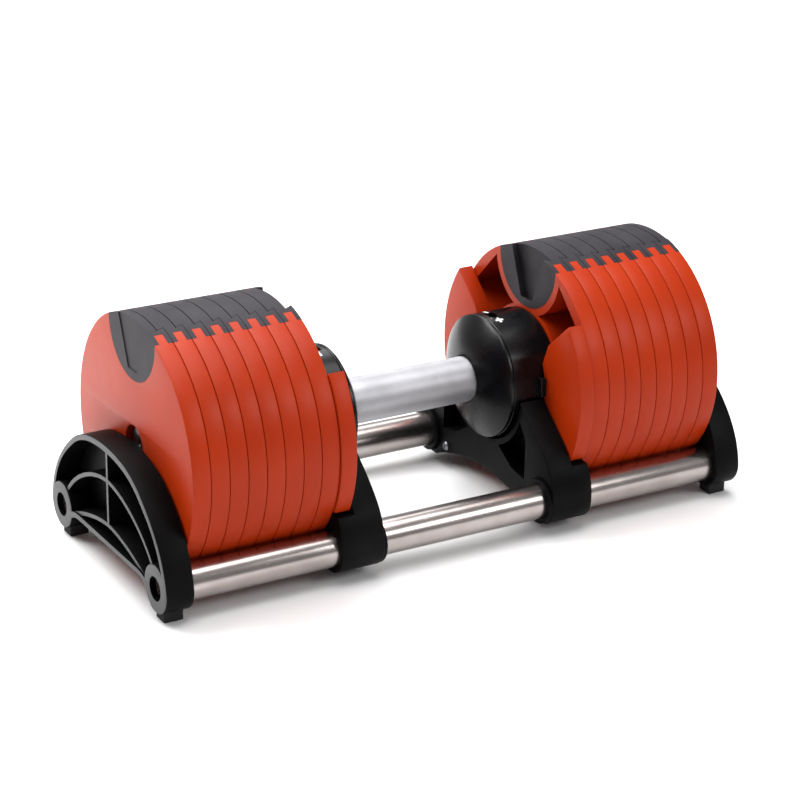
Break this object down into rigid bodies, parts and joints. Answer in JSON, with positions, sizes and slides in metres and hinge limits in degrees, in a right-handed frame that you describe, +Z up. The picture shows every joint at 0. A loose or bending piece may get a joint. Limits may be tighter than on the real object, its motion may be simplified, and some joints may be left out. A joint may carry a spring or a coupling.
{
  "type": "adjustable dumbbell",
  "caption": "Adjustable dumbbell with a twist grip, stacked round red plates on both sides and a two-tube cradle with ribbed black brackets.",
  "frame": {"origin": "on the floor, under the middle of the cradle", "axes": "+X along the handle to the right, +Y to the rear, +Z up"},
  "size_m": [0.4612, 0.187, 0.1825],
  "materials": {
    "red_coat": "red-orange satin powder coat on cast iron",
    "insert_plastic": "dark grey fine-grained moulding",
    "black_plastic": "black satin moulding",
    "gloss_plastic": "black semi-gloss moulding",
    "polished_steel": "polished, slightly warm steel tube",
    "knurled_steel": "fine knurl, satin nickel",
    "plain_steel": "plain turned steel",
    "zinc_screw": "zinc-plated steel",
    "dial_plastic": "black moulded dial",
    "lock_plastic": "natural acetal",
    "rubber": "black rubber"
  },
  "bodies": {
    "cradle": {"cradle_tube_front": "polished_steel", "cradle_tube_rear": "polished_steel", "saddle_bracket_right": "black_plastic", "end_bracket_right": "black_plastic", "foot_pad_right_front": "rubber", "saddle_screw_right_front": "zinc_screw", "foot_pad_right_rear": "rubber", "saddle_screw_right_rear": "zinc_screw", "saddle_bracket_left": "black_plastic", "end_bracket_left": "black_plastic", "foot_pad_left_front": "rubber", "saddle_screw_left_front": "zinc_screw", "foot_pad_left_rear": "rubber", "saddle_screw_left_rear": "zinc_screw"},
    "handle": {"guide_tube": "plain_steel", "hub_cap_right": "gloss_plastic", "hub_housing_right": "gloss_plastic", "end_weight_right": "red_coat", "hub_cap_left": "gloss_plastic", "hub_housing_left": "gloss_plastic", "end_weight_left": "red_coat"},
    "grip": {"grip_tube": "knurled_steel", "number_dial_right": "dial_plastic", "number_dial_left": "dial_plastic"},
    "drive_rod_right": {"drive_rod_right": "plain_steel"},
    "drive_rod_left": {"drive_rod_left": "plain_steel"},
    "lock_yoke_right": {"lock_yoke_right": "lock_plastic"},
    "lock_yoke_left": {"lock_yoke_left": "lock_plastic"},
    "plate_right_1": {"plate_right_1": "red_coat", "plate_insert_right_1": "insert_plastic"},
    "plate_right_2": {"plate_right_2": "red_coat", "plate_insert_right_2": "insert_plastic"},
    "plate_right_3": {"plate_right_3": "red_coat", "plate_insert_right_3": "insert_plastic"},
    "plate_right_4": {"plate_right_4": "red_coat", "plate_insert_right_4": "insert_plastic"},
    "plate_right_5": {"plate_right_5": "red_coat", "plate_insert_right_5": "insert_plastic"},
    "plate_right_6": {"plate_right_6": "red_coat", "plate_insert_right_6": "insert_plastic"},
    "plate_right_7": {"plate_right_7": "red_coat", "plate_insert_right_7": "insert_plastic"},
    "plate_right_8": {"plate_right_8": "red_coat", "plate_insert_right_8": "insert_plastic"},
    "plate_left_1": {"plate_left_1": "red_coat", "plate_insert_left_1": "insert_plastic"},
    "plate_left_2": {"plate_left_2": "red_coat", "plate_insert_left_2": "insert_plastic"},
    "plate_left_3": {"plate_left_3": "red_coat", "plate_insert_left_3": "insert_plastic"},
    "plate_left_4": {"plate_left_4": "red_coat", "plate_insert_left_4": "insert_plastic"},
    "plate_left_5": {"plate_left_5": "red_coat", "plate_insert_left_5": "insert_plastic"},
    "plate_left_6": {"plate_left_6": "red_coat", "plate_insert_left_6": "insert_plastic"},
    "plate_left_7": {"plate_left_7": "red_coat", "plate_insert_left_7": "insert_plastic"},
    "plate_left_8": {"plate_left_8": "red_coat", "plate_insert_left_8": "insert_plastic"}
  },
  "joints": [
    {"name": "handle_lift", "type": "slide", "parent": "cradle", "child": "handle", "axis": [0, 0, 1], "range_m": [0, 0.25]},
    {"name": "grip_turn", "type": "hinge", "parent": "handle", "child": "grip", "pos_m": [0, 0, 0.0925], "axis": [1, 0, 0], "range_deg": [-320, 0]},
    {"name": "rod_slide_right", "type": "slide", "parent": "handle", "child": "drive_rod_right", "axis": [1, 0, 0], "range_m": [-0.1081, 0.0001]},
    {"name": "rod_slide_left", "type": "slide", "parent": "handle", "child": "drive_rod_left", "axis": [-1, 0, 0], "range_m": [-0.1081, 0.0001]},
    {"name": "lock_drop_right", "type": "slide", "parent": "handle", "child": "lock_yoke_right", "axis": [0, 0, 1], "range_m": [-0.00451, 0.0001]},
    {"name": "lock_drop_left", "type": "slide", "parent": "handle", "child": "lock_yoke_left", "axis": [0, 0, 1], "range_m": [-0.00451, 0.0001]},
    {"name": "plate_lift_right_1", "type": "slide", "parent": "cradle", "child": "plate_right_1", "axis": [0, 0, 1], "range_m": [0, 0.25]},
    {"name": "plate_lift_right_2", "type": "slide", "parent": "cradle", "child": "plate_right_2", "axis": [0, 0, 1], "range_m": [0, 0.25]},
    {"name": "plate_lift_right_3", "type": "slide", "parent": "cradle", "child": "plate_right_3", "axis": [0, 0, 1], "range_m": [0, 0.25]},
    {"name": "plate_lift_right_4", "type": "slide", "parent": "cradle", "child": "plate_right_4", "axis": [0, 0, 1], "range_m": [0, 0.25]},
    {"name": "plate_lift_right_5", "type": "slide", "parent": "cradle", "child": "plate_right_5", "axis": [0, 0, 1], "range_m": [0, 0.25]},
    {"name": "plate_lift_right_6", "type": "slide", "parent": "cradle", "child": "plate_right_6", "axis": [0, 0, 1], "range_m": [0, 0.25]},
    {"name": "plate_lift_right_7", "type": "slide", "parent": "cradle", "child": "plate_right_7", "axis": [0, 0, 1], "range_m": [0, 0.25]},
    {"name": "plate_lift_right_8", "type": "slide", "parent": "cradle", "child": "plate_right_8", "axis": [0, 0, 1], "range_m": [0, 0.25]},
    {"name": "plate_lift_left_1", "type": "slide", "parent": "cradle", "child": "plate_left_1", "axis": [0, 0, 1], "range_m": [0, 0.25]},
    {"name": "plate_lift_left_2", "type": "slide", "parent": "cradle", "child": "plate_left_2", "axis": [0, 0, 1], "range_m": [0, 0.25]},
    {"name": "plate_lift_left_3", "type": "slide", "parent": "cradle", "child": "plate_left_3", "axis": [0, 0, 1], "range_m": [0, 0.25]},
    {"name": "plate_lift_left_4", "type": "slide", "parent": "cradle", "child": "plate_left_4", "axis": [0, 0, 1], "range_m": [0, 0.25]},
    {"name": "plate_lift_left_5", "type": "slide", "parent": "cradle", "child": "plate_left_5", "axis": [0, 0, 1], "range_m": [0, 0.25]},
    {"name": "plate_lift_left_6", "type": "slide", "parent": "cradle", "child": "plate_left_6", "axis": [0, 0, 1], "range_m": [0, 0.25]},
    {"name": "plate_lift_left_7", "type": "slide", "parent": "cradle", "child": "plate_left_7", "axis": [0, 0, 1], "range_m": [0, 0.25]},
    {"name": "plate_lift_left_8", "type": "slide", "parent": "cradle", "child": "plate_left_8", "axis": [0, 0, 1], "range_m": [0, 0.25]}
  ],
  "couplings": [
    {"joint": "rod_slide_right", "follows": "grip_turn", "m_per_rad": 0.019337},
    {"joint": "rod_slide_left", "follows": "grip_turn", "m_per_rad": 0.019337},
    {"joint": "lock_drop_right", "follows": "handle_lift", "ratio": -0.018},
    {"joint": "lock_drop_left", "follows": "handle_lift", "ratio": -0.018},
    {"joint": "plate_lift_right_1", "follows": "handle_lift", "ratio": 1},
    {"joint": "plate_lift_right_2", "follows": "handle_lift", "ratio": 1},
    {"joint": "plate_lift_right_3", "follows": "handle_lift", "ratio": 1},
    {"joint": "plate_lift_right_4", "follows": "handle_lift", "ratio": 1},
    {"joint": "plate_lift_right_5", "follows": "handle_lift", "ratio": 1},
    {"joint": "plate_lift_right_6", "follows": "handle_lift", "ratio": 1},
    {"joint": "plate_lift_right_7", "follows": "handle_lift", "ratio": 1},
    {"joint": "plate_lift_right_8", "follows": "handle_lift", "ratio": 1},
    {"joint": "plate_lift_left_1", "follows": "handle_lift", "ratio": 1},
    {"joint": "plate_lift_left_2", "follows": "handle_lift", "ratio": 1},
    {"joint": "plate_lift_left_3", "follows": "handle_lift", "ratio": 1},
    {"joint": "plate_lift_left_4", "follows": "handle_lift", "ratio": 1},
    {"joint": "plate_lift_left_5", "follows": "handle_lift", "ratio": 1},
    {"joint": "plate_lift_left_6", "follows": "handle_lift", "ratio": 1},
    {"joint": "plate_lift_left_7", "follows": "handle_lift", "ratio": 1},
    {"joint": "plate_lift_left_8", "follows": "handle_lift", "ratio": 1}
  ]
}
